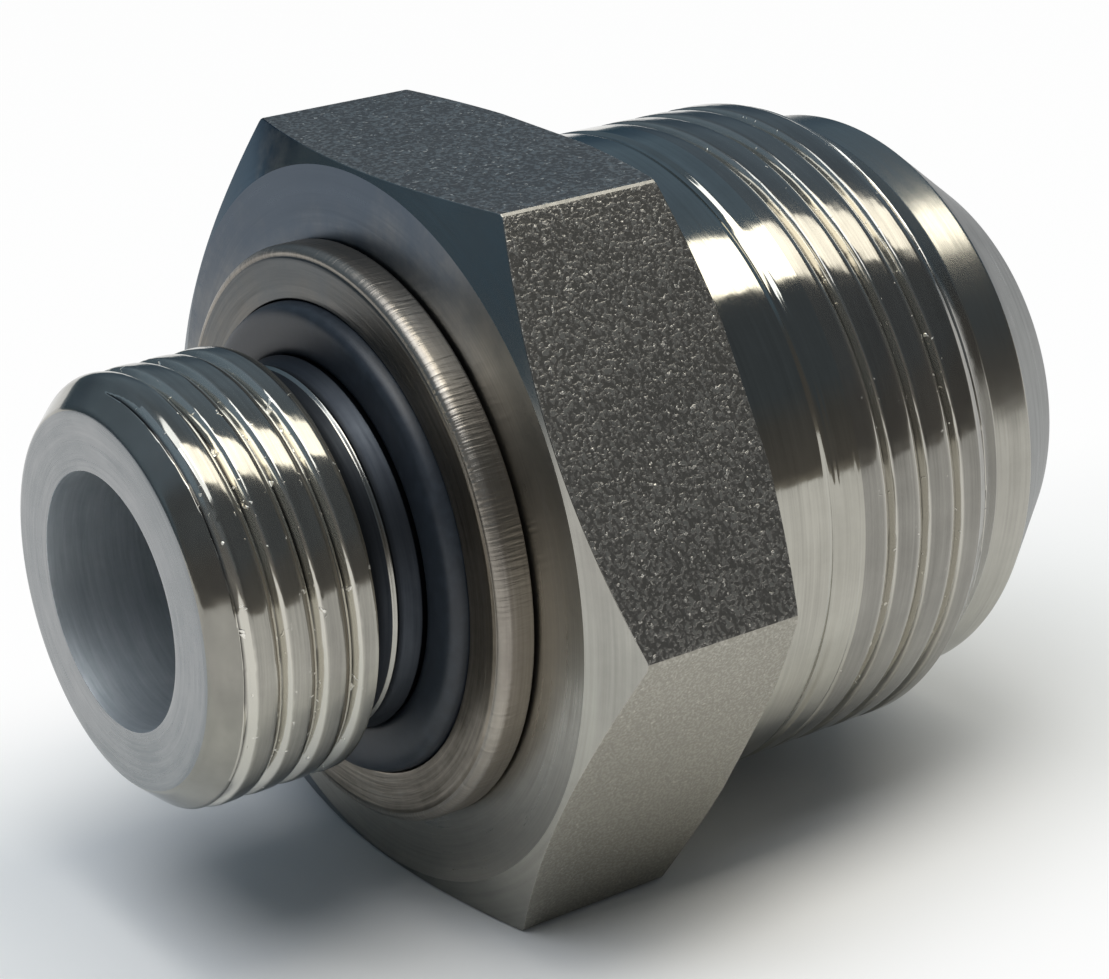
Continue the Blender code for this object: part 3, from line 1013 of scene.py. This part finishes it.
@dataclass
class RetainingRing:
    """The flat metal ring round the rubber ring."""

    axis: Axis
    hole: float = 11.67
    radius: float = 14.24
    face: float = 1.96
    face_radius: float = 13.72
    shoulder: float = 0.62
    shoulder_steps: int = 9
    rear: float = 0.13
    steps: int = 300

    def build(self) -> None:
        """Model and dress the ring: a flat face, a thin step and a rounded shoulder."""
        corners = [Corner(-self.face, self.hole, 0.08, 0.2), Corner(-self.face, self.face_radius - 0.04),
                   Corner(-self.face + 0.05, self.face_radius)]
        drop = self.radius - self.face_radius - 0.05
        for number in range(1, self.shoulder_steps + 1):
            angle = math.radians(90.0 / self.shoulder_steps * number)
            corners.append(Corner(-self.face + 0.02 + self.shoulder * (1 - math.cos(angle)),
                                  self.face_radius + 0.05 + drop * math.sin(angle)))
        corners += [Corner(-self.rear, self.radius, 0.16, 0.5), Corner(-self.rear, self.hole, 0.08, 0.5)]
        piece = turn("retaining_ring_turned", corners, self.steps, self.axis)
        _, out, _ = face_places(piece, self.axis)
        finishes = [RING_FACE, RING_RIM]
        slots = np.zeros(len(out))
        slots[out > self.face_radius + 0.03] = finishes.index(RING_RIM)
        dress(piece, finishes, self.axis, slots)
        hand_over(piece, "retaining_ring")


@dataclass
class SealRing:
    """The rubber ring in the neck, pressed from round to nearly square in section."""

    axis: Axis
    place: float = -1.50
    ring_radius: float = 10.25
    section: float = 1.36
    flatness: float = 0.92
    squareness: float = 0.54
    section_steps: int = 32
    steps: int = 220

    def build(self) -> None:
        """Model and dress the ring."""
        corners = []
        for number in range(self.section_steps):
            angle = 2 * math.pi * (number + 0.5) / self.section_steps
            across = math.copysign(abs(math.cos(angle)) ** self.squareness, math.cos(angle))
            upward = math.copysign(abs(math.sin(angle)) ** self.squareness, math.sin(angle))
            corners.append(Corner(self.place - self.flatness * self.section * across,
                                  self.ring_radius + self.section * upward))
        piece = turn("rubber_ring", corners, self.steps, self.axis)
        dress(piece, [RUBBER], self.axis, np.zeros(len(piece.data.polygons)))
        hand_over(piece, "o_ring")


@dataclass(frozen=True)
class SoftBox:
    """One level soft box, with its place and size in metres, where a level of 1 is white paper in plain light."""

    name: str
    place: tuple[float, float, float]
    size: tuple[float, float]
    level: float
    colour: str

    def build(self) -> None:
        """Hang the soft box."""
        deselect()
        bpy.ops.object.light_add(type="AREA", location=self.place)
        lamp = bpy.context.object
        lamp.name = self.name
        lamp.data.shape = "RECTANGLE"
        lamp.data.size, lamp.data.size_y = self.size
        lamp.data.energy = self.level * math.pi * self.size[0] * self.size[1]
        lamp.data.color = srgb(self.colour)[:3]
        lamp.visible_camera = False


@dataclass
class Studio:
    """Pale floor, a long soft box overhead, a large one beside it, and a dim blue grey room.

    All lengths are in metres. The floor goes from plain paint to nearly an even white between open_from and open_to
    away from the part's foot. Lengths along the part are scaled down for that, so that the plain paint reaches as
    far as the part is long, and the shift moves its middle 10 mm towards the stud.
    """

    floor_radius: float = 3.0
    floor_drop: float = 0.00005
    floor_colour: str = "#f6f6f4"
    open_scale: tuple[float, float, float] = (0.35, 1.0, 0.0)
    open_shift: tuple[float, float, float] = (0.0035, 0.001, 0.0)
    open_from: float = 0.0130
    open_to: float = 0.033
    open_share: float = 0.94
    strip: SoftBox = SoftBox("strip_soft_box", (0.27, -0.10, 0.62), (0.78, 0.25), 4.0, "#fff9ec")
    broad: SoftBox = SoftBox("broad_soft_box", (-0.26, -0.06, 0.66), (0.50, 0.60), 3.2, "#f7faff")

    def floor(self) -> None:
        """Lay the floor under the part.

        Away from the part the floor is nearly an even white, for the eye and for the metal alike. Near the part
        it is plain painted board for both, so that the part's own soft shadow lies there and shows in the metal.
        """
        deselect()
        bpy.ops.mesh.primitive_circle_add(vertices=96, radius=self.floor_radius, fill_type="NGON",
                                          location=(0, 0, -self.floor_drop))
        floor = bpy.context.object
        floor.name = "studio_floor"
        material = bpy.data.materials.new("white_painted_board")
        material.use_nodes = True
        tree = material.node_tree
        tree.nodes.remove(tree.nodes["Principled BSDF"])
        place = add_node(tree, "TexCoord").outputs["Object"]
        near = add_node(tree, "VectorMath", {0: place, 1: self.open_scale, 2: self.open_shift},
                        operation="MULTIPLY_ADD").outputs["Vector"]
        away = add_node(tree, "VectorMath", {0: near}, operation="LENGTH").outputs["Value"]
        rays = add_node(tree, "LightPath")
        seen = add_node(tree, "Math", {0: rays.outputs["Is Camera Ray"], 1: rays.outputs["Is Glossy Ray"]},
                        operation="MAXIMUM").outputs[0]
        seen = add_node(tree, "Math", {0: seen, 1: rays.outputs["Is Transmission Ray"]},
                        operation="MAXIMUM").outputs[0]
        open_floor = add_node(tree, "MapRange", {"Value": away, "From Min": self.open_from,
                                                 "From Max": self.open_to, "To Min": 0.0,
                                                 "To Max": self.open_share},
                              interpolation_type="SMOOTHSTEP").outputs["Result"]
        share = add_node(tree, "Math", {0: open_floor, 1: seen}, operation="MULTIPLY")
        paint = add_node(tree, "BsdfDiffuse", {"Color": srgb(self.floor_colour)})
        white = add_node(tree, "Emission", {"Color": srgb("#ffffff"), "Strength": 1.0})
        mixed = add_node(tree, "MixShader", {0: share.outputs[0], 1: paint.outputs[0], 2: white.outputs[0]})
        tree.links.new(mixed.outputs[0], tree.nodes["Material Output"].inputs["Surface"])
        floor.data.materials.append(material)

    def room(self) -> None:
        """Paint the room: towards the viewer brownish near the floor and dark above, away from them blue grey."""
        world = bpy.context.scene.world or bpy.data.worlds.new("room")
        bpy.context.scene.world = world
        world.use_nodes = True
        tree = world.node_tree
        tree.nodes.clear()
        place = add_node(tree, "TexCoord").outputs["Generated"]
        split = add_node(tree, "SeparateXYZ", {"Vector": place})
        height = add_node(tree, "MapRange", {"Value": split.outputs["Z"], "From Min": -1.0,
                                             "From Max": 1.0}).outputs["Result"]
        near = add_node(tree, "ValToRGB", {"Fac": height}, stops=[
            (0.0, "#b9b7b0"), (0.49, "#9a958c"), (0.525, "#625f5c"), (0.64, "#575757"), (0.71, "#4e555c"),
            (0.88, "#4c535b"), (1.0, "#5f6d7a")]).outputs["Color"]
        far = add_node(tree, "ValToRGB", {"Fac": height}, stops=[
            (0.0, "#a9adb0"), (0.49, "#6f7b85"), (0.53, "#364b59"), (0.60, "#46596a"), (0.69, "#667a8b"),
            (0.85, "#6c7f92"), (1.0, "#5f6d7a")]).outputs["Color"]
        side = add_node(tree, "MapRange", {"Value": split.outputs["Y"], "From Min": -0.12, "From Max": 0.12},
                        interpolation_type="SMOOTHSTEP").outputs["Result"]
        colour = add_node(tree, "Mix", {0: side, 6: near, 7: far}, data_type="RGBA").outputs[2]
        back = add_node(tree, "Background", {"Color": colour, "Strength": 1.0})
        add_node(tree, "OutputWorld", {"Surface": back.outputs[0]})

    def build(self) -> None:
        """Set up the studio."""
        self.floor()
        self.strip.build()
        self.broad.build()
        self.room()


@dataclass
class Camera:
    """The photograph's view, looking down on the stud end. Places are in metres and turns in degrees."""

    place: tuple[float, float, float] = (-0.079536, -0.114912, 0.074771)
    turn: tuple[float, float, float] = (67.6794, 1.2112, -35.5066)
    lens: float = 97.863
    sensor: float = 36.0
    nearest: float = 0.005
    farthest: float = 20.0

    def build(self) -> None:
        """Add the camera."""
        deselect()
        bpy.ops.object.camera_add(location=self.place, rotation=[math.radians(value) for value in self.turn])
        camera = bpy.context.object
        camera.name = "photo_camera"
        camera.data.sensor_width = self.sensor
        camera.data.lens = self.lens
        camera.data.clip_start = self.nearest
        camera.data.clip_end = self.farthest
        bpy.context.scene.camera = camera


def main() -> None:
    """Build the fitting's looks, the studio and the camera."""
    logging.basicConfig(level=logging.INFO)
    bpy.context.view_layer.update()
    axis = Axis.of_frame()
    Stud(axis).build()
    Hexagon(axis).build()
    ConeEnd(axis).build()
    RetainingRing(axis).build()
    SealRing(axis).build()
    Studio().build()
    Camera().build()
    bpy.context.scene.view_settings.view_transform = "Standard"


if __name__ == "__main__":
    main()
